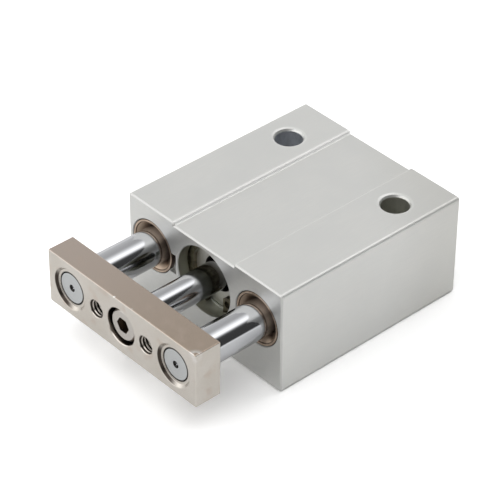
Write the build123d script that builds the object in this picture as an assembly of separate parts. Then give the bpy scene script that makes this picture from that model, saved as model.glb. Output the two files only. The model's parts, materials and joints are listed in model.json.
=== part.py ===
from build123d import *
import math
import os

# A miniature guided cylinder, in millimetres. X runs across it, -Y points to the front plate, +Z is up.
# The origin lies on the base, midway between the two threaded mounting holes.
# A depth is measured along +Y from the front face of the housing.

# Housing
body_height = 15.3
side_wall = 0.72
side_round = 0.5
end_break = 0.2
channel_width = 11.3
channel_depth = 0.45
channel_round = 0.4
mount_pitch = 20.0
mount_from_rear = 7.25
mount_thread_diameter = 4.0
mount_thread_mouth_diameter = 4.4
mount_thread_length = 11.0
mount_bore_diameter = 3.8
mount_mouth_diameter = 4.15
mount_mouth_depth = 0.38
mount_lip_diameter = 4.8
mount_lip_depth = 0.1
axis_height = 9.15
guide_pitch = 20.0
bore_diameter = 10.0
bore_mouth_break = 0.12
rear_recess = 1.0

# Strokes and the pose of the photograph
stroke = 10.0
retracted_gap = 3.0
rest_gap = 9.55

# Rods
guide_rod_diameter = 5.0
guide_rod_break = 0.3
guide_spigot_diameter = 4.5
guide_spigot_break = 0.12
piston_rod_diameter = 4.0
piston_rod_break = 0.25
rod_neck_diameter = 2.5
centre_drill_diameter = 1.0
centre_drill_depth = 0.9

# Guide bushes and the blind bores behind them
bush_wall = 1.33
bush_length = 10.5
bush_sink = 0.08
bush_lead_in = 0.95
bush_mouth_break = 0.1
guide_bore_clearance = 0.2
guide_end_wall = 0.7
guide_end_gap = 0.3
vent_diameter = 1.0

# Staking mark in the web beside the left bush
stake_land = 0.3
stake_width = 1.3
stake_height = 3.0
stake_depth = 0.6
stake_drop = 0.45

# Snap rings
ring_thickness = 0.7
ring_radial_width = 1.0
ring_taper = 0.2
ring_lug_radius = 1.0
ring_hole_diameter = 1.1
ring_lug_angle = 36.0
ring_lug_reach = 1.9
ring_lug_wall = 0.25
groove_depth = 0.3
groove_side_gap = 0.25
front_ring_depth = 1.9

# Rod cover and its seals
rod_cover_length = 7.2
rod_cover_recess_diameter = 5.0
rod_cover_recess_depth = 1.2
rod_cover_nose_length = 1.3
cover_nose_step = 0.6
cover_lead_in = 0.2
o_ring_section = 1.0
o_ring_groove_width = 1.3
rod_cover_groove_from_front = 2.2
rod_seal_width = 1.6
rod_seal_height = 1.15
rod_seal_from_rear = 1.2
seal_lip_depth = 0.7
seal_lip_thickness = 0.32

# Rear cover
rear_cover_length = 2.8
rear_cover_nose_length = 0.9
rear_cover_dimple_diameter = 3.0
rear_cover_dimple_depth = 0.5

# Bumpers
bumper_thickness = 0.5
bumper_margin = 0.35
bumper_gap = 0.1

# Piston
piston_length = 3.0
piston_seal_width = 1.3
piston_seal_height = 0.95
piston_seal_from_front = 0.85
spigot_diameter = 6.0
magnet_length = 1.4
piston_nut_length = 1.2
nut_slot_width = 0.8
nut_slot_depth = 0.5
piston_break = 0.15

# Front plate
plate_inset = 0.42
plate_height = 8.15
plate_thickness = 4.05
plate_round = 0.16
plate_thread_pitch = 9.5
plate_thread_diameter = 2.5
plate_thread_mouth_diameter = 2.7
rod_seat_depth = 0.4
rod_seat_diameter = 5.3
rod_mouth_diameter = 6.1
counterbore_diameter = 5.2
counterbore_break = 0.12
screw_clearance = 0.2

# Plate screw
screw_diameter = 2.5
screw_head_diameter = 4.5
screw_head_height = 2.5
screw_head_sink = 0.4
screw_head_break = 0.22
screw_reach = 4.2
hex_across_flats = 2.0
hex_depth = 1.2
hex_cone_depth = 0.4
screw_hole_run_out = 0.8

# Air ports on the base
port_diameter = 3.0
port_mouth_diameter = 3.4
port_thread_depth = 3.0
port_passage_diameter = 1.0

# Fits
running_clearance = 0.02
piston_clearance = 0.05
static_clearance = 0.02

# Radii that the pieces share
bore_radius = bore_diameter / 2
guide_rod_radius = guide_rod_diameter / 2
guide_spigot_radius = guide_spigot_diameter / 2
bush_radius = guide_rod_radius + running_clearance + bush_wall
piston_rod_radius = piston_rod_diameter / 2
rod_neck_radius = rod_neck_diameter / 2
screw_radius = screw_diameter / 2
cover_radius = bore_radius - static_clearance
cover_nose_radius = bore_radius - cover_nose_step
piston_radius = bore_radius - piston_clearance
o_ring_groove_radius = bore_radius - o_ring_section
rod_hole_radius = piston_rod_radius + running_clearance

# Widths that follow from the guides
body_width = guide_pitch + 2 * (bush_radius + side_wall)
plate_width = body_width - 2 * plate_inset

# The stack of pieces along the centre bore, as depths
front_ring_end = front_ring_depth + ring_thickness
rod_cover_end = front_ring_end + rod_cover_length
piston_full_length = piston_length + magnet_length + piston_nut_length
piston_front_extended = rod_cover_end + bumper_thickness + bumper_gap
piston_rear_retracted = piston_front_extended + stroke + piston_full_length
rear_cover_start = piston_rear_retracted + bumper_gap + bumper_thickness
rear_cover_end = rear_cover_start + rear_cover_length
rear_ring_end = rear_cover_end + ring_thickness
body_length = rear_ring_end + rear_recess

# Places that follow from the stack
front_face = mount_from_rear - body_length
rest_extension = rest_gap - retracted_gap
piston_front = piston_front_extended + stroke - rest_extension
piston_rear = piston_front + piston_full_length
mount_depth = body_length - mount_from_rear
guide_bore_end = mount_depth - mount_thread_diameter / 2 - guide_end_wall
guide_rod_end = guide_bore_end - guide_end_gap - rest_extension
plate_rear = -rest_gap
plate_front = plate_rear - plate_thickness
rod_cover_groove_start = front_ring_end + rod_cover_groove_from_front
rod_seal_end = rod_cover_end - rod_seal_from_rear
rod_seal_start = rod_seal_end - rod_seal_width
rear_cover_land_middle = (rear_cover_start + rear_cover_nose_length + rear_cover_end) / 2
rear_cover_groove_start = rear_cover_land_middle - o_ring_groove_width / 2
front_passage_depth = rod_cover_end - rod_cover_nose_length / 2
rear_passage_depth = rear_cover_start + rear_cover_nose_length / 2
counterbore_depth = screw_head_height + screw_head_sink
guide_places = (-guide_pitch / 2, guide_pitch / 2)


def turned(outline, x=0.0):
    """A solid turned about an axis along Y. The outline's points are (radius, depth)."""
    points = [(radius, front_face + depth) for radius, depth in outline]
    profile = make_face(Polyline(*points, close=True))
    return Pos(x, 0, axis_height) * revolve(profile, Axis.Y, 360)


def drilled(radius, start, end, x=0.0):
    """A plain cylinder along Y between two depths."""
    return turned([(0, start), (radius, start), (radius, end), (0, end)], x)


def upright(outline, x, y):
    """A solid turned about an axis along Z. The outline's points are (radius, height)."""
    profile = make_face(Polyline(*[(radius, 0, height) for radius, height in outline], close=True))
    return Pos(x, y, 0) * revolve(profile, Axis.Z, 360)


def across(sketch, start, length):
    """A sketch seen from the front, centred on the centre axis, extruded towards +Y from a depth."""
    plane = Plane(origin=(0, front_face + start, axis_height), x_dir=(1, 0, 0), z_dir=(0, -1, 0))
    return extrude(plane * sketch, -length)


def ring(inner, outer, start, end):
    """A plain ring between two depths."""
    return turned([(inner, start), (outer, start), (outer, end), (inner, end)])


def o_ring(start, width):
    """An O-ring in the middle of its groove, from the groove's floor to the wall of the bore."""
    place = Pos(bore_radius - o_ring_section / 2, front_face + start + width / 2)
    section = place * RegularPolygon(o_ring_section / 2, 8, rotation=22.5)
    return Pos(0, 0, axis_height) * revolve(section, Axis.Y, 360)


def make_block():
    """The extruded block with the channel in its top, rounded along its length and broken at both ends."""
    outside = Pos(0, body_height / 2) * Rectangle(body_width, body_height)
    outside = fillet(outside.vertices(), side_round)
    section = outside - Pos(0, body_height) * Rectangle(channel_width, 2 * channel_depth)
    steps = [v for v in section.vertices() if v.Y > body_height - channel_depth / 2 and abs(v.X) < body_width / 3]
    section = fillet(steps, channel_round)
    plane = Plane(origin=(0, front_face, 0), x_dir=(1, 0, 0), z_dir=(0, -1, 0))
    block = extrude(plane * section, -body_length)
    ends = block.faces().sort_by(Axis.Y)
    return chamfer(ends[0].edges() + ends[-1].edges(), end_break)


def centre_bore_cut():
    """The bore from end to end, with broken mouths and the two ring grooves."""
    groove = bore_radius + groove_depth
    mouth = bore_radius + bore_mouth_break
    cut = turned([
        (0, 0), (mouth, 0), (bore_radius, bore_mouth_break),
        (bore_radius, body_length - bore_mouth_break), (mouth, body_length), (0, body_length),
    ])
    cut += drilled(groove, front_ring_depth - groove_side_gap, front_ring_end)
    cut += drilled(groove, rear_cover_end, rear_ring_end + groove_side_gap)
    return cut


def guide_bore_cut(x):
    """A stepped blind bore for one bush and its rod, with a vent into the mounting hole behind it."""
    seat = bush_radius
    deep = guide_rod_radius + guide_bore_clearance
    cut = turned([
        (0, 0), (seat + bush_mouth_break, 0), (seat, bush_mouth_break), (seat, bush_sink + bush_length),
        (deep, bush_sink + bush_length), (deep, guide_bore_end), (0, guide_bore_end),
    ], x)
    return cut + drilled(vent_diameter / 2, guide_bore_end, mount_depth, x)


def mount_hole_cut(x):
    """A hole from top to base: a thread below, and a plain bore with a wide soft mouth above it."""
    thread = mount_thread_diameter / 2
    thread_mouth = mount_thread_mouth_diameter / 2
    bore = mount_bore_diameter / 2
    return upright([
        (0, 0), (thread_mouth, 0), (thread, thread_mouth - thread),
        (thread, mount_thread_length), (bore, mount_thread_length),
        (bore, body_height - mount_mouth_depth),
        (mount_mouth_diameter / 2, body_height - mount_lip_depth),
        (mount_lip_diameter / 2, body_height), (0, body_height),
    ], x, 0)


def port_cut(depth):
    """A threaded port in the base with a narrow passage up to the bore."""
    floor = axis_height - bore_radius
    mouth = (port_mouth_diameter - port_diameter) / 2
    radius = port_diameter / 2
    passage = port_passage_diameter / 2
    return upright([
        (0, 0), (radius + mouth, 0), (radius, mouth), (radius, port_thread_depth),
        (passage, port_thread_depth), (passage, floor + passage), (0, floor + passage),
    ], 0, front_face + depth)


def stake_cut():
    """The upright mark punched into the web beside the left bush, open towards the bush."""
    x = -(bore_radius + stake_land + stake_width / 2)
    return across(Pos(x, -stake_drop) * Rectangle(stake_width, stake_height), 0, stake_depth)


def make_housing():
    """The block with everything cut from it."""
    housing = make_block() - centre_bore_cut() - stake_cut()
    for x in guide_places:
        housing -= guide_bore_cut(x)
    for x in (-mount_pitch / 2, mount_pitch / 2):
        housing -= mount_hole_cut(x)
    for depth in (front_passage_depth, rear_passage_depth):
        housing -= port_cut(depth)
    return housing


def make_guide_bush(x):
    """A plain bush with a wide lead-in at its mouth and a small one at its inner end."""
    inner = guide_rod_radius + running_clearance
    outer = bush_radius
    end = bush_sink + bush_length
    return turned([
        (inner + bush_lead_in, bush_sink), (outer - bush_mouth_break, bush_sink),
        (outer, bush_sink + bush_mouth_break), (outer, end - bush_mouth_break),
        (outer - bush_mouth_break, end), (inner + bush_mouth_break, end),
        (inner, end - bush_mouth_break), (inner, bush_sink + bush_lead_in),
    ], x)


def ring_sketch():
    """An internal snap ring seen from the front: a tapered C with two lugs at a gap that faces down."""
    outer = bore_radius + groove_depth - static_clearance
    inner = outer - ring_radial_width
    hole = ring_hole_diameter / 2
    lug_place = bore_radius - ring_lug_reach + ring_lug_radius
    lug_x = lug_place * math.sin(math.radians(ring_lug_angle))
    lug_y = -lug_place * math.cos(math.radians(ring_lug_angle))
    half_gap = lug_x - hole - ring_lug_wall
    shape = Circle(outer) - Pos(0, -ring_taper) * Circle(inner)
    for x in (-lug_x, lug_x):
        shape += Pos(x, lug_y) * Circle(ring_lug_radius)
    shape -= Pos(0, -outer) * Rectangle(2 * half_gap, 2 * (outer - piston_rod_radius))
    for x in (-lug_x, lug_x):
        shape -= Pos(x, lug_y) * Circle(hole)
    return shape


def make_snap_ring(start):
    """A snap ring with its front at the given depth."""
    return across(ring_sketch(), start, ring_thickness)


def make_rod_cover():
    """The turned cover at the mouth of the bore, with its outer groove and the inner seal seat."""
    start = front_ring_end
    end = rod_cover_end
    recess = rod_cover_recess_diameter / 2
    groove = rod_cover_groove_start
    nose = end - rod_cover_nose_length
    cover = turned([
        (rod_hole_radius, start + rod_cover_recess_depth), (recess, start + rod_cover_recess_depth),
        (recess, start), (cover_radius - cover_lead_in, start), (cover_radius, start + cover_lead_in),
        (cover_radius, groove), (o_ring_groove_radius, groove),
        (o_ring_groove_radius, groove + o_ring_groove_width), (cover_radius, groove + o_ring_groove_width),
        (cover_radius, nose), (cover_nose_radius, nose), (cover_nose_radius, end), (rod_hole_radius, end),
    ])
    return cover - drilled(rod_hole_radius + rod_seal_height, rod_seal_start, rod_seal_end)


def make_rod_seal():
    """A lip seal that fills its seat, with an open groove between its two lips on the pressure side."""
    start = rod_seal_start
    end = rod_seal_end
    outer = rod_hole_radius + rod_seal_height
    inner = rod_hole_radius
    return turned([
        (inner, start), (outer, start), (outer, end), (outer - seal_lip_thickness, end),
        ((inner + outer) / 2, end - seal_lip_depth), (inner + seal_lip_thickness, end), (inner, end),
    ])


def make_rear_cover():
    """The turned cover at the rear, with its groove, its narrow nose and a centre dimple."""
    start = rear_cover_start
    end = rear_cover_end
    nose = start + rear_cover_nose_length
    groove = rear_cover_groove_start
    dimple = rear_cover_dimple_diameter / 2
    return turned([
        (0, start), (cover_nose_radius, start), (cover_nose_radius, nose), (cover_radius, nose),
        (cover_radius, groove), (o_ring_groove_radius, groove),
        (o_ring_groove_radius, groove + o_ring_groove_width), (cover_radius, groove + o_ring_groove_width),
        (cover_radius, end - cover_lead_in), (cover_radius - cover_lead_in, end),
        (dimple, end), (dimple, end - rear_cover_dimple_depth), (0, end - rear_cover_dimple_depth),
    ])


def make_front_bumper():
    """A rubber ring on the inner face of the rod cover."""
    inner = rod_hole_radius + bumper_margin
    outer = cover_nose_radius - bumper_margin
    return ring(inner, outer, rod_cover_end, rod_cover_end + bumper_thickness)


def make_rear_bumper():
    """A rubber ring on the inner face of the rear cover, clear of the rod's end."""
    inner = rod_neck_radius + bumper_margin
    outer = cover_nose_radius - bumper_margin
    return ring(inner, outer, rear_cover_start - bumper_thickness, rear_cover_start)


def make_guide_rod(x):
    """A guide rod with a spigot for the plate, a broken inner end and a centre hole in each end."""
    front = plate_front + rod_seat_depth
    drill = centre_drill_diameter / 2
    return turned([
        (0, front + centre_drill_depth), (drill, front), (guide_spigot_radius - guide_spigot_break, front),
        (guide_spigot_radius, front + guide_spigot_break), (guide_spigot_radius, plate_rear),
        (guide_rod_radius, plate_rear), (guide_rod_radius, guide_rod_end - guide_rod_break),
        (guide_rod_radius - guide_rod_break, guide_rod_end), (drill, guide_rod_end),
        (0, guide_rod_end - centre_drill_depth),
    ], x)


def make_piston_rod():
    """The rod, tapped for the plate screw in front and necked down for the piston behind."""
    tapped = screw_radius + static_clearance
    hole_end = plate_rear + screw_reach + screw_hole_run_out
    return turned([
        (tapped, plate_rear), (piston_rod_radius - piston_rod_break, plate_rear),
        (piston_rod_radius, plate_rear + piston_rod_break), (piston_rod_radius, piston_front),
        (rod_neck_radius, piston_front), (rod_neck_radius, piston_rear), (0, piston_rear),
        (0, hole_end + tapped / 2), (tapped, hole_end),
    ])


def make_piston():
    """The piston's head with its seal groove and the spigot that carries the magnet."""
    start = piston_front
    end = start + piston_length
    groove = start + piston_seal_from_front
    floor = bore_radius - piston_seal_height
    spigot = spigot_diameter / 2
    hole = rod_neck_radius + static_clearance
    return turned([
        (hole, start), (piston_radius - piston_break, start), (piston_radius, start + piston_break),
        (piston_radius, groove), (floor, groove), (floor, groove + piston_seal_width),
        (piston_radius, groove + piston_seal_width), (piston_radius, end),
        (spigot, end), (spigot, end + magnet_length), (hole, end + magnet_length),
    ])


def make_piston_seal():
    """A seal with two lips that run on the bore."""
    start = piston_front + piston_seal_from_front
    end = start + piston_seal_width
    floor = bore_radius - piston_seal_height
    lip = bore_radius - running_clearance
    valley = lip - piston_seal_height / 3
    land = piston_seal_width / 4
    return turned([
        (floor, start), (valley, start), (lip, start + land / 2), (lip, start + land),
        (valley, (start + end) / 2), (lip, end - land), (lip, end - land / 2), (valley, end), (floor, end),
    ])


def make_magnet():
    """The ring magnet on the piston's spigot."""
    start = piston_front + piston_length
    inner = spigot_diameter / 2 + static_clearance
    return ring(inner, piston_radius, start, start + magnet_length)


def make_piston_nut():
    """The round nut behind the magnet, with a slot across its face."""
    start = piston_rear - piston_nut_length
    inner = rod_neck_radius + static_clearance
    nut = turned([
        (inner, start), (piston_radius, start), (piston_radius, piston_rear - piston_break),
        (piston_radius - piston_break, piston_rear), (inner, piston_rear),
    ])
    slot = across(Rectangle(bore_diameter, nut_slot_width), piston_rear - nut_slot_depth, nut_slot_depth)
    return nut - slot


def plate_hole(radius, mouth_radius, x):
    """A hole through the plate with a 45 degree mouth on both faces."""
    mouth = mouth_radius - radius
    return turned([
        (0, plate_front), (mouth_radius, plate_front), (radius, plate_front + mouth),
        (radius, plate_rear - mouth), (mouth_radius, plate_rear), (0, plate_rear),
    ], x)


def make_front_plate():
    """The plate with its rod holes, the two threaded holes and the counterbored screw hole."""
    middle = front_face + (plate_front + plate_rear) / 2
    plate = Pos(0, middle, axis_height) * Box(plate_width, plate_thickness, plate_height)
    plate = fillet(plate.edges(), plate_round)
    seat = plate_front + rod_seat_depth
    for x in guide_places:
        plate -= turned([
            (0, plate_front), (rod_mouth_diameter / 2, plate_front), (rod_seat_diameter / 2, seat),
            (guide_spigot_radius, seat), (guide_spigot_radius, plate_rear), (0, plate_rear),
        ], x)
    for x in (-plate_thread_pitch / 2, plate_thread_pitch / 2):
        plate -= plate_hole(plate_thread_diameter / 2, plate_thread_mouth_diameter / 2, x)
    wide = counterbore_diameter / 2
    narrow = screw_radius + screw_clearance
    plate -= turned([
        (0, plate_front), (wide + counterbore_break, plate_front), (wide, plate_front + counterbore_break),
        (wide, plate_front + counterbore_depth), (narrow, plate_front + counterbore_depth),
        (narrow, plate_rear), (0, plate_rear),
    ])
    return plate


def make_plate_screw():
    """The socket head cap screw that draws the plate onto the piston rod."""
    top = plate_front + screw_head_sink
    seat = top + screw_head_height
    head = screw_head_diameter / 2
    tip = plate_rear + screw_reach
    screw = turned([
        (0, top), (head - screw_head_break, top), (head, top + screw_head_break), (head, seat),
        (screw_radius, seat), (screw_radius, tip - screw_head_break),
        (screw_radius - screw_head_break, tip), (0, tip),
    ])
    corner = hex_across_flats / math.sqrt(3)
    socket = across(RegularPolygon(corner, 6), top, hex_depth)
    floor = top + hex_depth
    cone = turned([(0, floor), (hex_across_flats / 2, floor), (0, floor + hex_cone_depth)])
    return screw - socket - cone


pieces = {
    "housing": make_housing(),
    "left_guide_bush": make_guide_bush(guide_places[0]),
    "right_guide_bush": make_guide_bush(guide_places[1]),
    "rod_cover": make_rod_cover(),
    "rod_seal": make_rod_seal(),
    "rod_cover_o_ring": o_ring(rod_cover_groove_start, o_ring_groove_width),
    "front_snap_ring": make_snap_ring(front_ring_depth),
    "front_bumper": make_front_bumper(),
    "rear_bumper": make_rear_bumper(),
    "rear_cover": make_rear_cover(),
    "rear_cover_o_ring": o_ring(rear_cover_groove_start, o_ring_groove_width),
    "rear_snap_ring": make_snap_ring(rear_cover_end),
    "front_plate": make_front_plate(),
    "left_guide_rod": make_guide_rod(guide_places[0]),
    "right_guide_rod": make_guide_rod(guide_places[1]),
    "piston_rod": make_piston_rod(),
    "piston": make_piston(),
    "piston_seal": make_piston_seal(),
    "magnet": make_magnet(),
    "piston_nut": make_piston_nut(),
    "plate_screw": make_plate_screw(),
}

os.makedirs("parts", exist_ok=True)
for name, piece in pieces.items():
    export_step(piece, f"parts/{name}.step")
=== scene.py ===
"""The looks of a miniature guided cylinder: metal finishes, screw threads, a pale studio and the camera."""
import bmesh
import bpy
import json
import math
from mathutils import Matrix, Vector


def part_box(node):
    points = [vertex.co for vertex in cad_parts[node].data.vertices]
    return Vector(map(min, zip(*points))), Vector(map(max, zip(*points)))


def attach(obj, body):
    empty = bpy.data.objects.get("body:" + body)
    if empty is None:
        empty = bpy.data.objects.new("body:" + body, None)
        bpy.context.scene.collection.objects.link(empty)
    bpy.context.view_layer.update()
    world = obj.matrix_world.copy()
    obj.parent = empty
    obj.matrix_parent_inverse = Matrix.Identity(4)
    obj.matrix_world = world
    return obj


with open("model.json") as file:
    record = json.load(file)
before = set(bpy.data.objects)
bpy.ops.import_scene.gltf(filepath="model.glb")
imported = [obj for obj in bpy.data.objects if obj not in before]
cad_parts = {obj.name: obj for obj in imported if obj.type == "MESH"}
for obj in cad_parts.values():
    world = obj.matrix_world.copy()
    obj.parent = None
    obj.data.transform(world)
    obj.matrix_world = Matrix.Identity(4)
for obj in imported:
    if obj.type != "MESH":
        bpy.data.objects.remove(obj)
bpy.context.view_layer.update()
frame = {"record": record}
scene = bpy.context.scene

MM = 0.001
GUIDE_OFFSET = 10.0      # mm from the middle to each guide rod's axis
THREAD_OFFSET = 4.75     # mm from the middle to each threaded hole's axis in the plate
AXIS_HEIGHT = 9.15       # mm from the base to the rods' axes

# Camera: its direction and distance, and the point that it is aimed at
CAMERA_AZIMUTH = 47.752
CAMERA_ELEVATION = 37.276
CAMERA_ROLL = 0.37
CAMERA_DISTANCE = 0.314965
CAMERA_RIGHT = 0.005942
CAMERA_UP = 0.011315
CAMERA_ORIGIN = Vector((0, -0.02385, 0))
LENS = 176.244
SENSOR = 36.0

# Studio: the floor, the pale horizon, the bright front on the left, and the turn of the sky in front
FLOOR_SIZE = 24.0
FLOOR_DROP = 0.00003
FLOOR_WHITE = 0.86
FLOOR_LIFT = 1.6
PAPER_SCALE = 900.0
PAPER_SHARE = 0.02
PAPER_LEVEL = 0.9
HORIZON_LEVEL = 1.08
HORIZON_START = 0.10
HORIZON_END = 0.165
FRONT_LEFT_LEVEL = 1.45
FRONT_TURN = 8.0
FRONT_STEP = (0.45, 0.05)
FRONT_LEFT_STEP = (0.12, -0.25)
LEFT_STEP = (0.42, 0.56)
RAMP_TOP = 2.5
HALF_TURN = 180
# The sky by its angle from the right, in degrees, and its level: a dark side on the right, a bright strip
# overhead and a plain grey side on the left
SKY = (
    (0, 0.06), (50, 0.07), (59, 0.16), (65, 0.8), (72, 1.8), (80, 2.0), (88, 1.7), (96, 1.2),
    (105, 0.8), (115, 0.61), (130, 0.645), (150, 0.73), (180, 0.95),
)

# Screw threads, in mm: the pitch, the crest's radius and the depth of the mouth
MOUNT_PITCH = 0.7
MOUNT_CREST = 1.66
MOUNT_MOUTH = 0.2
MOUNT_LENGTH = 10.8
PLATE_PITCH = 0.45
PLATE_CREST = 1.03
PLATE_MOUTH = 0.2
PORT_PITCH = 0.5
PORT_CREST = 1.26
PORT_MOUTH = 0.2
THREAD_SEGMENTS = 40
THREAD_WALL = 0.012
LAND_SHARE = 0.25        # of the pitch, at the crest
ROOT_SHARE = 0.125       # of the pitch, at the full radius
EXTRA_TURNS = 2
MERGE_DISTANCE = 1e-7    # m
SIDES = ((-0.5, "left"), (0.5, "right"))

# Bands in X or by the radius about an axis, in mm: where each has its middle, and half its width
CHANNEL_WALL = (-5.815, 0.42)
CHANNEL_LINE = (-5.56, 0.16)
CHANNEL_STEEP = (-5.68, 0.12)
BUSH_LINE = (3.42, 0.09)
BAND_CORE = 0.4          # of the half width, where the band is full

# Soft steps by the radius about an axis, in mm: where each starts and where it is full
CENTRE_BORE = (5.36, 5.30)
MOUNT_BORE = (2.08, 2.02)
COVER_RECESS = (2.62, 2.50)
BUSH_CONE = (3.35, 2.65)
BUSH_MOUTH = (3.48, 3.40)
BUSH_RIM = (3.68, 3.76)
ROD_MOUTH = (3.2, 3.0)
ROD_CONE = (2.62, 2.72)
ROD_GAP = (2.37, 2.31)
ROD_RIM = (2.08, 2.13)
ROD_DRILL = (0.55, 0.48)
COUNTERBORE = (2.66, 2.62)
THREAD_HOLE = (1.27, 1.24)
THREAD_TIP = (1.17, 1.07)
HEXAGON = (1.20, 1.12)
FROM_GUIDES = (5.0, 7.0)

# Soft steps along X, Y or Z, in mm from the side or the axis that the use names
BODY_TOP = (-0.6, -0.5)
BODY_CORNER = (-0.6, -0.4)
BODY_BREAK = (-0.22, -0.18)
MOUNT_CONE_END = (-0.34, -0.44)
RECESS_END = (6.0, 5.0)
NEAR_BODY_SHADE_START = (-6.5, -1.0)
PLATE_TOP = (-0.1, -0.02)
PLATE_RIM = (0.40, 0.15)
MOUTH_START = (0.01, 0.06)
SUNK_START = (0.1, 0.2)
THREAD_LIGHT = (2.2, 1.0)
ROD_END = (0.75, 0.65)
SOCKET_START = (0.42, 0.5)
UNDERSIDE = (1.5, 0.0)

# Painted shade and highlight: the direction to the lower left and its step, the reach of the painted
# highlight at the corner, and the step of the painted shade to the rear right, by Y plus a share of X, all
# in mm
LOW_LEFT = (-0.87, -0.49)
LOW_LEFT_STEP = (0.6, 2.2)
HIGHLIGHT_REACH = (1.5, 0.6)
REAR_RIGHT = (1.0, 15.0)
REAR_RIGHT_X = 0.6
STEEP_NORMAL = (0.1, 0.0, 0.995)
EDGE_ROUNDING = 0.12
DUST_GAIN = 1.6
LINE_DETAIL = 3.0

body_low, body_high = (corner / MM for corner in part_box("housing"))
plate_low, plate_high = (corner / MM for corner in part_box("front_plate"))


def add(tree, kind, inputs=None, **settings):
    """A shader node with its settings, and with each input set to a number or linked to a socket."""
    node = tree.nodes.new(kind)
    for name, value in settings.items():
        setattr(node, name, value)
    for name, value in (inputs or {}).items():
        if isinstance(value, bpy.types.NodeSocket):
            tree.links.new(value, node.inputs[name])
        else:
            node.inputs[name].default_value = value
    return node


def calc(tree, operation, a, b=0.0):
    """The result of one Math node."""
    return add(tree, "ShaderNodeMath", {0: a, 1: b}, operation=operation).outputs[0]


def scaled(tree, value, factor, offset):
    """The value times a factor, plus an offset."""
    inputs = {0: value, 1: factor, 2: offset}
    return add(tree, "ShaderNodeMath", inputs, operation="MULTIPLY_ADD").outputs[0]


def blend(tree, share, a, b):
    """Two values mixed."""
    return add(tree, "ShaderNodeMix", {0: share, 2: a, 3: b}).outputs[0]


def smooth(tree, value, off, full):
    """A soft step, 0 where the value is at off or beyond it and 1 where it is at full or beyond it."""
    inputs = {"Value": value, "From Min": off, "From Max": full}
    return add(tree, "ShaderNodeMapRange", inputs, interpolation_type="SMOOTHSTEP").outputs[0]


def step_from(tree, value, side, step):
    """A soft step whose start and end are given from one side of a piece."""
    return smooth(tree, value, side + step[0], side + step[1])


def band(tree, value, middle, half):
    """A soft band of the value, 1 about its middle and 0 from half a width away."""
    away = calc(tree, "ABSOLUTE", calc(tree, "SUBTRACT", value, middle))
    return smooth(tree, away, half, BAND_CORE * half)


def product(tree, first, *others):
    """Several shares multiplied."""
    result = first
    for share in others:
        result = calc(tree, "MULTIPLY", result, share)
    return result


def blend_colors(tree, share, a, b, mode="MIX"):
    """Two colours mixed, each a socket or three numbers."""
    node = add(tree, "ShaderNodeMix", {0: share}, data_type="RGBA", blend_type=mode)
    for index, value in ((6, a), (7, b)):
        if isinstance(value, bpy.types.NodeSocket):
            tree.links.new(value, node.inputs[index])
        else:
            node.inputs[index].default_value = (*value, 1.0)
    return node.outputs[2]


def noise(tree, vector, scale, detail, roughness=0.5):
    """A noise pattern on a vector in mm, as a value."""
    inputs = {"Vector": vector, "Scale": scale, "Detail": detail, "Roughness": roughness}
    return add(tree, "ShaderNodeTexNoise", inputs).outputs[0]


def line_noise(tree, value, scale):
    """A noise pattern along one value in mm."""
    inputs = {"W": value, "Scale": scale, "Detail": LINE_DETAIL}
    return add(tree, "ShaderNodeTexNoise", inputs, noise_dimensions="1D").outputs[0]


def stretched(tree, vector, factors):
    """The vector with each part times its own factor."""
    return add(tree, "ShaderNodeVectorMath", {0: vector, 1: factors}, operation="MULTIPLY").outputs[0]


def place(tree):
    """The surface point in mm, its three parts, and the size of its normal's Y part."""
    coordinates = add(tree, "ShaderNodeTexCoord")
    point = stretched(tree, coordinates.outputs["Object"], (1000.0, 1000.0, 1000.0))
    x, y, z = add(tree, "ShaderNodeSeparateXYZ", {0: point}).outputs
    normal = add(tree, "ShaderNodeSeparateXYZ", {0: coordinates.outputs["Normal"]}).outputs
    return point, x, y, z, calc(tree, "ABSOLUTE", normal[1])


def flat_length(tree, across, up):
    """The length of a flat vector."""
    flat = add(tree, "ShaderNodeCombineXYZ", {0: across, 1: up}).outputs[0]
    return add(tree, "ShaderNodeVectorMath", {0: flat}, operation="LENGTH").outputs["Value"]


def radius_about(tree, x, z, offset):
    """The distance in mm from the middle axis along Y, or from the nearer of two at the offset."""
    across = calc(tree, "SUBTRACT", calc(tree, "ABSOLUTE", x), offset) if offset else x
    return flat_length(tree, across, calc(tree, "SUBTRACT", z, AXIS_HEIGHT))


def bump(tree, height, strength, distance_mm, normal=None):
    """A surface normal from a height pattern."""
    inputs = {"Height": height, "Strength": strength, "Distance": distance_mm * MM}
    if normal:
        inputs["Normal"] = normal
    return add(tree, "ShaderNodeBump", inputs).outputs[0]


def start(slot):
    """The material of a slot, as it came with the frame, with one plain shader in its tree."""
    material = bpy.data.materials[slot]
    tree = material.node_tree
    tree.nodes.clear()
    shader = add(tree, "ShaderNodeBsdfPrincipled")
    output = add(tree, "ShaderNodeOutputMaterial")
    tree.links.new(shader.outputs[0], output.inputs[0])
    return tree, shader


def finish_shader(tree, shader, color, roughness, normal, metallic):
    """Colour, roughness, normal and metal share go to the shader, each as a socket or a value."""
    values = {"Base Color": color, "Roughness": roughness, "Normal": normal, "Metallic": metallic}
    for name, value in values.items():
        if isinstance(value, bpy.types.NodeSocket):
            tree.links.new(value, shader.inputs[name])
        else:
            shader.inputs[name].default_value = value


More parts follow.
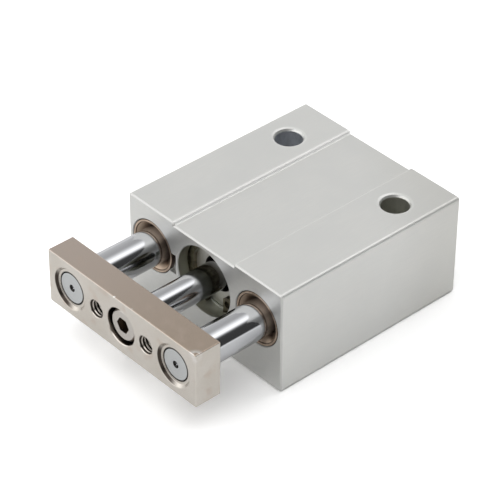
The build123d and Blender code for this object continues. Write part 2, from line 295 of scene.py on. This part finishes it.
def anodised_aluminium():
    """Clear satin anodising on a drawn and milled block, with a painted highlight on its channel wall and
    painted shade in its bores.
    """
    tree, shader = start("anodised_aluminium")
    point, x, y, z, facing = place(tree)
    across = calc(tree, "ABSOLUTE", x)
    on_end = smooth(tree, facing, 0.6, 0.9)
    drawn = noise(tree, stretched(tree, point, (26.0, 0.35, 26.0)), 1.0, 3.0)
    milled = noise(tree, stretched(tree, point, (0.9, 1.0, 6.0)), 1.0, 4.0)
    lines = blend(tree, on_end, drawn, milled)
    grain = noise(tree, point, 28.0, 2.0)
    cloud = noise(tree, point, 0.16, 3.0)
    color = blend_colors(tree, smooth(tree, cloud, 0.35, 0.68), (0.80, 0.80, 0.775), (0.772, 0.775, 0.754))
    color = blend_colors(tree, smooth(tree, lines, 0.35, 0.75), color, (0.762, 0.765, 0.746))
    # Painted shade: the body darker toward its rear right
    rear_right_shade = smooth(tree, scaled(tree, x, REAR_RIGHT_X, y), *REAR_RIGHT)
    color = blend_colors(tree, rear_right_shade, color, (0.90, 0.895, 0.88), "MULTIPLY")
    # Painted shade: the end faces a little darker
    color = blend_colors(tree, on_end, color, (0.93, 0.93, 0.93), "MULTIPLY")
    rough = scaled(tree, grain, 0.10, 0.36)

    # Edges: a painted highlight makes the wall on the left of the channel pale, and painted shade gives a
    # duller break all round both ends
    on_top = step_from(tree, z, body_high.z, BODY_TOP)
    wall = product(tree, band(tree, x, *CHANNEL_WALL), on_top)
    color = blend_colors(tree, wall, color, (0.82, 0.82, 0.80))
    line = product(tree, band(tree, x, *CHANNEL_LINE), on_top)
    color = blend_colors(tree, line, color, (0.96, 0.96, 0.94))
    middle_y, half_length = (body_low.y + body_high.y) / 2, (body_high.y - body_low.y) / 2
    from_middle = calc(tree, "ABSOLUTE", calc(tree, "SUBTRACT", y, middle_y))
    at_break = step_from(tree, from_middle, half_length, BODY_BREAK)
    at_break = product(tree, at_break, smooth(tree, facing, 0.95, 0.88))
    color = blend_colors(tree, at_break, color, (0.64, 0.64, 0.625))
    corner = product(tree, step_from(tree, across, body_high.x, BODY_CORNER), on_top)
    edge = calc(tree, "MAXIMUM", calc(tree, "MAXIMUM", corner, wall), at_break)
    rough = blend(tree, edge, rough, 0.52)
    metal = blend(tree, wall, 0.92, 0.8)

    # Bores: painted shade on their walls, olive in the middle, bluish on the left and olive on the right in
    # the mounting holes
    in_bore = smooth(tree, radius_about(tree, x, z, 0.0), *CENTRE_BORE)
    in_bore = product(tree, in_bore, smooth(tree, facing, 0.75, 0.45))
    color = blend_colors(tree, in_bore, color, (0.50, 0.51, 0.435))
    in_hole = smooth(tree, flat_length(tree, calc(tree, "SUBTRACT", across, GUIDE_OFFSET), y), *MOUNT_BORE)
    in_hole = product(tree, in_hole, step_from(tree, z, body_high.z, MOUNT_CONE_END))
    hole_shade_color = blend_colors(tree, smooth(tree, x, -1.0, 1.0), (0.68, 0.70, 0.73), (0.56, 0.56, 0.51))
    color = blend_colors(tree, in_hole, color, hole_shade_color)

    # The steep foot of the channel wall is turned up, so it shows the same sky as the top
    normal = bump(tree, grain, 0.12, 0.01, bump(tree, lines, 0.05, 0.02))
    steep = product(tree, band(tree, x, *CHANNEL_STEEP), on_top)
    turned = add(tree, "ShaderNodeMix", {0: steep, 4: normal, 5: STEEP_NORMAL}, data_type="VECTOR")
    normal = add(tree, "ShaderNodeVectorMath", {0: turned.outputs[1]}, operation="NORMALIZE").outputs[0]
    finish_shader(tree, shader, color, rough, normal, metal)


def turned_aluminium():
    """Bare turned aluminium with fine rings about the middle axis, and painted shade in the recess of the
    rod cover.
    """
    tree, shader = start("turned_aluminium")
    point, x, y, z, facing = place(tree)
    middle = radius_about(tree, x, z, 0.0)
    along = blend(tree, smooth(tree, facing, 0.4, 0.8), y, middle)
    rings = line_noise(tree, along, 14.0)
    cloud = noise(tree, point, 0.9, 2.0)
    color = blend_colors(tree, smooth(tree, rings, 0.3, 0.7), (0.70, 0.69, 0.66), (0.60, 0.59, 0.56))
    color = blend_colors(tree, smooth(tree, cloud, 0.5, 0.8), color, (0.56, 0.55, 0.50))
    # Painted shade: the recess in the rod cover's face is dark
    recess_shade = product(tree, smooth(tree, middle, *COVER_RECESS), step_from(tree, y, body_low.y, RECESS_END))
    color = blend_colors(tree, recess_shade, color, (0.05, 0.048, 0.042))
    rough = scaled(tree, rings, 0.14, 0.36)
    finish_shader(tree, shader, color, rough, bump(tree, rings, 0.35, 0.012), 1.0)


def sintered_bronze():
    """Porous bronze, tan on its land, with painted shade that makes its mouth brown and darker toward the
    rod, and dark at its rim.
    """
    tree, shader = start("sintered_bronze")
    point, x, _, z, _ = place(tree)
    radius = radius_about(tree, x, z, GUIDE_OFFSET)
    pores = noise(tree, point, 9.0, 4.0, 0.6)
    stains = noise(tree, point, 0.8, 3.0)
    color = blend_colors(tree, smooth(tree, stains, 0.35, 0.65), (0.62, 0.49, 0.385), (0.46, 0.355, 0.275))
    # Painted shade: the mouth turns brown and darkens toward the rod, with a dark line at its edge
    inner = blend_colors(tree, smooth(tree, radius, *BUSH_CONE), (0.58, 0.455, 0.35), (0.23, 0.17, 0.125))
    color = blend_colors(tree, smooth(tree, radius, *BUSH_MOUTH), color, inner)
    color = blend_colors(tree, band(tree, radius, *BUSH_LINE), color, (0.12, 0.085, 0.06))
    color = blend_colors(tree, smooth(tree, pores, 0.56, 0.72), color, (0.16, 0.115, 0.085))
    color = blend_colors(tree, smooth(tree, radius, *BUSH_RIM), color, (0.045, 0.030, 0.022))
    rough = scaled(tree, pores, 0.25, 0.22)
    finish_shader(tree, shader, color, rough, bump(tree, pores, 0.25, 0.02), 1.0)


def rubber(slot, color, roughness):
    """Black rubber with a fine moulded grain."""
    tree, shader = start(slot)
    point = place(tree)[0]
    grain = noise(tree, point, 14.0, 3.0)
    dust = noise(tree, point, 1.6, 2.0)
    pale = [DUST_GAIN * part for part in color]
    tone = blend_colors(tree, smooth(tree, dust, 0.45, 0.8), color, pale)
    finish_shader(tree, shader, tone, roughness, bump(tree, grain, 0.2, 0.02), 0.0)


def spring_steel():
    """Phosphated spring steel with a film of oil."""
    tree, shader = start("spring_steel")
    point = place(tree)[0]
    stains = noise(tree, point, 1.3, 3.0)
    grain = noise(tree, point, 18.0, 3.0)
    color = blend_colors(tree, smooth(tree, stains, 0.35, 0.7), (0.24, 0.22, 0.155), (0.13, 0.115, 0.08))
    rough = scaled(tree, grain, 0.2, 0.24)
    finish_shader(tree, shader, color, rough, bump(tree, grain, 0.2, 0.015), 1.0)


def nickel_plate():
    """Satin nickel on steel, warm in tone, with painted shade that makes its top browner, and painted
    glints at nicks along its edges.
    """
    tree, shader = start("nickel_plate")
    point, x, y, z, _ = place(tree)
    cloud = noise(tree, point, 0.22, 3.0)
    speck = noise(tree, point, 3.2, 4.0, 0.6)
    grain = noise(tree, point, 22.0, 2.0)
    color = blend_colors(tree, smooth(tree, cloud, 0.38, 0.68), (0.675, 0.635, 0.58), (0.635, 0.59, 0.53))
    # Painted shade: the top browner, and darker toward the right
    top = blend_colors(tree, smooth(tree, x, -14.0, 14.0), (0.545, 0.465, 0.405), (0.475, 0.39, 0.315))
    color = blend_colors(tree, step_from(tree, z, plate_high.z, PLATE_TOP), color, top)
    tint = calc(tree, "MULTIPLY", smooth(tree, noise(tree, point, 0.55, 2.0), 0.56, 0.72), 0.45)
    color = blend_colors(tree, tint, color, (0.57, 0.47, 0.395))
    color = blend_colors(tree, smooth(tree, speck, 0.66, 0.76), color, (0.50, 0.43, 0.37))

    # Round the rod ends: painted shade on the lower left side of each cone and in the gap about the rod
    radius = radius_about(tree, x, z, GUIDE_OFFSET)
    in_mouth = product(tree, step_from(tree, y, plate_low.y, MOUTH_START), smooth(tree, radius, *ROD_MOUTH))
    across = calc(tree, "SUBTRACT", x, calc(tree, "MULTIPLY", calc(tree, "SIGN", x), GUIDE_OFFSET))
    up = calc(tree, "SUBTRACT", z, AXIS_HEIGHT)
    leftward = calc(tree, "MULTIPLY", across, LOW_LEFT[0])
    downward = calc(tree, "MULTIPLY", up, LOW_LEFT[1])
    low_left = calc(tree, "ADD", leftward, downward)
    in_cone = product(tree, in_mouth, smooth(tree, radius, *ROD_CONE))
    shaded = product(tree, in_cone, smooth(tree, low_left, *LOW_LEFT_STEP))
    color = blend_colors(tree, shaded, color, (0.055, 0.045, 0.038))
    gap = product(tree, in_mouth, smooth(tree, radius, *ROD_GAP))
    color = blend_colors(tree, gap, color, (0.05, 0.045, 0.04))

    # Painted shade lies on the counterbore's wall, and a painted highlight in patches makes the front right
    # corner on top bright
    sunk = smooth(tree, radius_about(tree, x, z, 0.0), *COUNTERBORE)
    sunk = product(tree, sunk, step_from(tree, y, plate_low.y, SUNK_START))
    color = blend_colors(tree, sunk, color, (0.16, 0.135, 0.115))
    corner = (plate_high.x, plate_low.y, plate_high.z)
    reach = add(tree, "ShaderNodeVectorMath", {0: point, 1: corner}, operation="DISTANCE").outputs["Value"]
    patches = smooth(tree, noise(tree, point, 1.6, 3.0), 0.40, 0.52)
    corner_highlight = product(tree, smooth(tree, reach, *HIGHLIGHT_REACH), patches)
    color = blend_colors(tree, corner_highlight, color, (0.76, 0.725, 0.69))

    # Threads: painted light on the crests near the mouth and painted shade in the roots
    thread = radius_about(tree, x, z, THREAD_OFFSET)
    crest = product(tree, smooth(tree, thread, *THREAD_TIP), step_from(tree, y, plate_low.y, THREAD_LIGHT))
    steel = blend_colors(tree, crest, (0.045, 0.037, 0.03), (0.66, 0.615, 0.56))
    color = blend_colors(tree, smooth(tree, thread, *THREAD_HOLE), color, steel)

    # Nicks along the front edge on top, each with a painted glint
    low, high = PLATE_RIM
    on_front = step_from(tree, y, plate_low.y, PLATE_RIM)
    rim = product(tree, on_front, step_from(tree, z, plate_high.z, (-low, -high)))
    nick_glint = smooth(tree, noise(tree, point, 1.1, 3.0, 0.6), 0.64, 0.69)
    color = blend_colors(tree, product(tree, rim, nick_glint), color, (0.90, 0.875, 0.84))
    soft = add(tree, "ShaderNodeBevel", {"Radius": EDGE_ROUNDING * MM}, samples=8).outputs[0]
    normal = bump(tree, speck, 0.12, 0.03, bump(tree, grain, 0.10, 0.012, soft))
    finish_shader(tree, shader, color, scaled(tree, grain, 0.10, 0.22), normal, 1.0)


def hard_chrome():
    """Ground and chromed rod, with fine lines round it, painted shade near the body and turning rings on
    its end face.
    """
    tree, shader = start("hard_chrome")
    point, x, y, z, facing = place(tree)
    end = smooth(tree, facing, 0.6, 0.9)
    ground = line_noise(tree, y, 11.0)
    radius = radius_about(tree, x, z, GUIDE_OFFSET)
    rings = line_noise(tree, radius, 9.0)
    chrome = blend_colors(tree, smooth(tree, ground, 0.3, 0.8), (0.555, 0.562, 0.578), (0.525, 0.532, 0.55))

    # Painted shade near the body, more on the underside and on the middle rod
    under = step_from(tree, z, AXIS_HEIGHT, UNDERSIDE)
    in_middle = smooth(tree, radius, *FROM_GUIDES)
    near_body_shade = blend(tree, in_middle, scaled(tree, under, 0.34, 0.04), scaled(tree, under, 0.38, 0.14))
    near_body_shade = product(tree, step_from(tree, y, body_low.y, NEAR_BODY_SHADE_START), near_body_shade)
    chrome = blend_colors(tree, near_body_shade, chrome, (0.10, 0.105, 0.12))

    # The end face, with painted shade on its rim and in its centre drilling
    steel = blend_colors(tree, smooth(tree, rings, 0.35, 0.65), (0.60, 0.615, 0.615), (0.50, 0.515, 0.52))
    steel = blend_colors(tree, smooth(tree, radius, *ROD_RIM), steel, (0.06, 0.055, 0.05))
    steel = blend_colors(tree, smooth(tree, radius, *ROD_DRILL), steel, (0.03, 0.03, 0.028))
    on_end = calc(tree, "MAXIMUM", end, step_from(tree, y, plate_low.y, ROD_END))
    color = blend_colors(tree, on_end, chrome, steel)
    rough = blend(tree, end, scaled(tree, near_body_shade, 0.09, 0.10), 0.34)
    waves = noise(tree, stretched(tree, point, (1.4, 0.5, 1.4)), 1.0, 3.0)
    lines = blend(tree, end, ground, rings)
    normal = bump(tree, lines, scaled(tree, end, 0.5, 0.05), 0.012, bump(tree, waves, 0.10, 0.02))
    finish_shader(tree, shader, color, rough, normal, 1.0)


def screw_steel():
    """Bright plated screw, with painted shade inside its hexagon."""
    tree, shader = start("screw_steel")
    point, x, y, z, _ = place(tree)
    middle = radius_about(tree, x, z, 0.0)
    rings = line_noise(tree, middle, 10.0)
    grain = noise(tree, point, 16.0, 3.0)
    color = blend_colors(tree, smooth(tree, rings, 0.35, 0.7), (0.60, 0.57, 0.53), (0.52, 0.49, 0.455))
    # Painted shade: dark inside the hexagon socket
    inside = product(tree, smooth(tree, middle, *HEXAGON), step_from(tree, y, plate_low.y, SOCKET_START))
    color = blend_colors(tree, inside, color, (0.20, 0.165, 0.13))
    rough = scaled(tree, grain, 0.16, 0.20)
    finish_shader(tree, shader, color, rough, bump(tree, rings, 0.15, 0.012), 1.0)


def magnet_material():
    """Dark sintered magnet with a fine grain."""
    tree, shader = start("magnet_material")
    point = place(tree)[0]
    grain = noise(tree, point, 12.0, 3.0)
    color = blend_colors(tree, grain, (0.13, 0.13, 0.14), (0.20, 0.20, 0.21))
    finish_shader(tree, shader, color, 0.45, bump(tree, grain, 0.3, 0.02), 1.0)


def thread_mesh(name, radius, crest, pitch, length, mouth_start, mouth_end):
    """A closed sleeve along Z with a screw thread cut in its inner side, in mm.

    The crest is the smallest radius. At a mouth, a cone that starts at the full radius trims the thread.
    """
    land, root = LAND_SHARE * pitch, ROOT_SHARE * pitch
    flank = (pitch - root - land) / 2
    profile = ((0.0, crest), (land, crest), (land + flank, radius), (pitch - flank, radius))
    turns = math.ceil(length / pitch) + EXTRA_TURNS
    steps = turns * THREAD_SEGMENTS
    vertices, faces = [], []
    for step in range(steps + THREAD_SEGMENTS + 1):
        angle = math.tau * step / THREAD_SEGMENTS
        base = pitch * (step / THREAD_SEGMENTS - EXTRA_TURNS)
        for offset, profile_radius in profile:
            height = min(max(base + offset, 0.0), length)
            cone = radius - min(height if mouth_start else radius, length - height if mouth_end else radius)
            r = max(profile_radius, cone)
            if height in (0.0, length):
                r = radius
            vertices.append((r * math.cos(angle), r * math.sin(angle), height))
    count = len(profile)
    for step in range(steps):
        for k in range(count):
            following = (step + THREAD_SEGMENTS) * count if k == count - 1 else step * count + k + 1
            beside = following + count
            faces.append((step * count + k, following, beside, (step + 1) * count + k))
    first = len(vertices)
    for height in (0.0, length):
        for r in (radius, radius + THREAD_WALL):
            for k in range(THREAD_SEGMENTS):
                angle = math.tau * k / THREAD_SEGMENTS
                vertices.append((r * math.cos(angle), r * math.sin(angle), height))
    for k in range(THREAD_SEGMENTS):
        after = (k + 1) % THREAD_SEGMENTS
        rings = [first + THREAD_SEGMENTS * ring for ring in (0, 1, 3, 2)]
        for inner, outer in zip(rings, rings[1:]):
            faces.append((inner + k, inner + after, outer + after, outer + k))
    mesh = bpy.data.meshes.new(name)
    mesh.from_pydata([[part * MM for part in v] for v in vertices], [], faces)
    return mesh


def tidy_mesh(mesh):
    """Points that lie together become one, faces with no area go, and all faces look outward."""
    work = bmesh.new()
    work.from_mesh(mesh)
    bmesh.ops.remove_doubles(work, verts=work.verts, dist=MERGE_DISTANCE)
    bmesh.ops.dissolve_degenerate(work, edges=work.edges, dist=MERGE_DISTANCE)
    bmesh.ops.recalc_face_normals(work, faces=work.faces)
    for face in work.faces:
        face.smooth = False
    work.to_mesh(mesh)
    work.free()


def add_thread(name, body, slot, mouth, axis, sizes):
    """A threaded sleeve whose first end lies at the mouth, running along the axis."""
    mesh = thread_mesh(name, *sizes)
    tidy_mesh(mesh)
    mesh.materials.append(bpy.data.materials[slot])
    piece = bpy.data.objects.new(name, mesh)
    scene.collection.objects.link(piece)
    turn = Vector((0, 0, 1)).rotation_difference(Vector(axis)).to_matrix().to_4x4()
    mesh.transform(Matrix.Translation(Vector(mouth)) @ turn)
    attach(piece, body)


def add_threads():
    """The threads of the mounting holes, the plate and the two ports, from the record's mounts."""
    mounts = {mount["name"]: mount for mount in frame["record"]["mounts"]}
    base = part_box("housing")[0].z
    holes = mounts["body_holes"]
    for side, label in SIDES:
        x = side * holes["dims"]["spacing_x_mm"] * MM
        sizes = (holes["dims"]["hole_r_mm"], MOUNT_CREST, MOUNT_PITCH, MOUNT_LENGTH, True, False)
        mouth = (x, holes["pos_m"][1], base + MOUNT_MOUTH * MM)
        add_thread(
            label + "_mounting_thread", "cylinder_body", "anodised_aluminium", mouth, (0, 0, 1), sizes,
        )
    holes = mounts["plate_threads"]
    front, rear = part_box("front_plate")[0].y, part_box("front_plate")[1].y
    length = (rear - front) / MM - 2 * PLATE_MOUTH
    for side, label in SIDES:
        x = side * holes["dims"]["spacing_x_mm"] * MM
        sizes = (holes["dims"]["hole_r_mm"], PLATE_CREST, PLATE_PITCH, length, True, True)
        mouth = (x, front + PLATE_MOUTH * MM, holes["pos_m"][2])
        add_thread(label + "_plate_thread", "plate_and_rods", "nickel_plate", mouth, (0, 1, 0), sizes)
    for name in ("front_port", "rear_port"):
        port = mounts[name]
        radius, length = port["dims"]["r_mm"], port["dims"]["length_mm"]
        mouth = (port["pos_m"][0], port["pos_m"][1], base + PORT_MOUTH * MM)
        sizes = (radius, PORT_CREST, PORT_PITCH, length, True, False)
        add_thread(name + "_thread", "cylinder_body", "anodised_aluminium", mouth, (0, 0, 1), sizes)


def make_floor():
    """A wide pale floor just under the base."""
    half = FLOOR_SIZE / 2
    corners = [(-half, -half, 0), (half, -half, 0), (half, half, 0), (-half, half, 0)]
    mesh = bpy.data.meshes.new("floor")
    mesh.from_pydata(corners, [], [(0, 1, 2, 3)])
    floor = bpy.data.objects.new("floor", mesh)
    floor.location.z = -FLOOR_DROP
    scene.collection.objects.link(floor)
    material = bpy.data.materials.new("floor_white")
    material.use_nodes = True
    tree = material.node_tree
    shader = tree.nodes["Principled BSDF"]
    point = add(tree, "ShaderNodeTexCoord").outputs["Object"]
    paper = calc(tree, "MULTIPLY", noise(tree, point, PAPER_SCALE, 2.0), PAPER_SHARE)
    white, dull = [FLOOR_WHITE] * 3, [PAPER_LEVEL * FLOOR_WHITE] * 3
    color = blend_colors(tree, paper, white, dull)
    seen = add(tree, "ShaderNodeLightPath").outputs["Is Camera Ray"]
    lift = scaled(tree, seen, FLOOR_LIFT - 1, 1.0)
    color = add(tree, "ShaderNodeVectorMath", {0: color, "Scale": lift}, operation="SCALE").outputs[0]
    tree.links.new(color, shader.inputs["Base Color"])
    shader.inputs["Roughness"].default_value = 1.0
    shader.inputs["Specular IOR Level"].default_value = 0.0
    mesh.materials.append(material)


def make_sky():
    """A studio sky by direction: pale at the horizon, brighter in front on the left, and SKY elsewhere."""
    world = bpy.data.worlds.new("studio")
    scene.world = world
    world.use_nodes = True
    tree = world.node_tree
    tree.nodes.clear()
    direction = add(tree, "ShaderNodeTexCoord").outputs["Generated"]
    x, y, z = add(tree, "ShaderNodeSeparateXYZ", {0: direction}).outputs
    angle = calc(tree, "DIVIDE", calc(tree, "ARCTAN2", z, x), math.pi)
    turn = calc(tree, "MULTIPLY", smooth(tree, y, *FRONT_STEP), FRONT_TURN / HALF_TURN)
    angle = calc(tree, "ADD", angle, turn)
    ramp = add(tree, "ShaderNodeValToRGB", {0: angle})
    stops = ramp.color_ramp.elements
    stops[0].position = SKY[0][0] / HALF_TURN
    stops[1].position = SKY[-1][0] / HALF_TURN
    for degrees, level in SKY[1:-1]:
        stops.new(degrees / HALF_TURN)
    for stop, (degrees, level) in zip(stops, SKY):
        gray = level / RAMP_TOP
        stop.color = (gray, gray, gray, 1)
    sides = calc(tree, "MULTIPLY", ramp.outputs[0], RAMP_TOP)
    front_left = calc(tree, "MULTIPLY", smooth(tree, y, *FRONT_LEFT_STEP), smooth(tree, angle, *LEFT_STEP))
    sky = blend(tree, front_left, sides, FRONT_LEFT_LEVEL)
    share = smooth(tree, z, HORIZON_START, HORIZON_END)
    level = blend(tree, share, HORIZON_LEVEL, sky)
    background = add(tree, "ShaderNodeBackground", {"Strength": level, "Color": (1, 1, 1, 1)})
    output = add(tree, "ShaderNodeOutputWorld")
    tree.links.new(background.outputs[0], output.inputs[0])


def make_camera():
    """The camera of the photograph: a long lens, in front on the right and above."""
    azimuth, elevation, roll = (math.radians(a) for a in (CAMERA_AZIMUTH, CAMERA_ELEVATION, CAMERA_ROLL))
    back = Vector((
        math.sin(azimuth) * math.cos(elevation),
        -math.cos(azimuth) * math.cos(elevation),
        math.sin(elevation),
    ))
    level_right = Vector((math.cos(azimuth), math.sin(azimuth), 0))
    level_up = back.cross(level_right)
    right = math.cos(roll) * level_right + math.sin(roll) * level_up
    up = math.cos(roll) * level_up - math.sin(roll) * level_right
    data = bpy.data.cameras.new("camera")
    data.lens = LENS
    data.sensor_width = SENSOR
    data.clip_start = 0.01
    data.clip_end = 100.0
    camera = bpy.data.objects.new("camera", data)
    turn = Matrix((right, up, back)).transposed().to_4x4()
    spot = CAMERA_ORIGIN + back * CAMERA_DISTANCE + right * CAMERA_RIGHT + up * CAMERA_UP
    camera.matrix_world = Matrix.Translation(spot) @ turn
    scene.collection.objects.link(camera)
    scene.camera = camera


anodised_aluminium()
turned_aluminium()
sintered_bronze()
rubber("nitrile_rubber", (0.022, 0.022, 0.022), 0.42)
rubber("bumper_rubber", (0.035, 0.034, 0.033), 0.6)
spring_steel()
nickel_plate()
hard_chrome()
screw_steel()
magnet_material()
add_threads()
make_floor()
make_sky()
make_camera()
scene.view_settings.view_transform = "Standard"
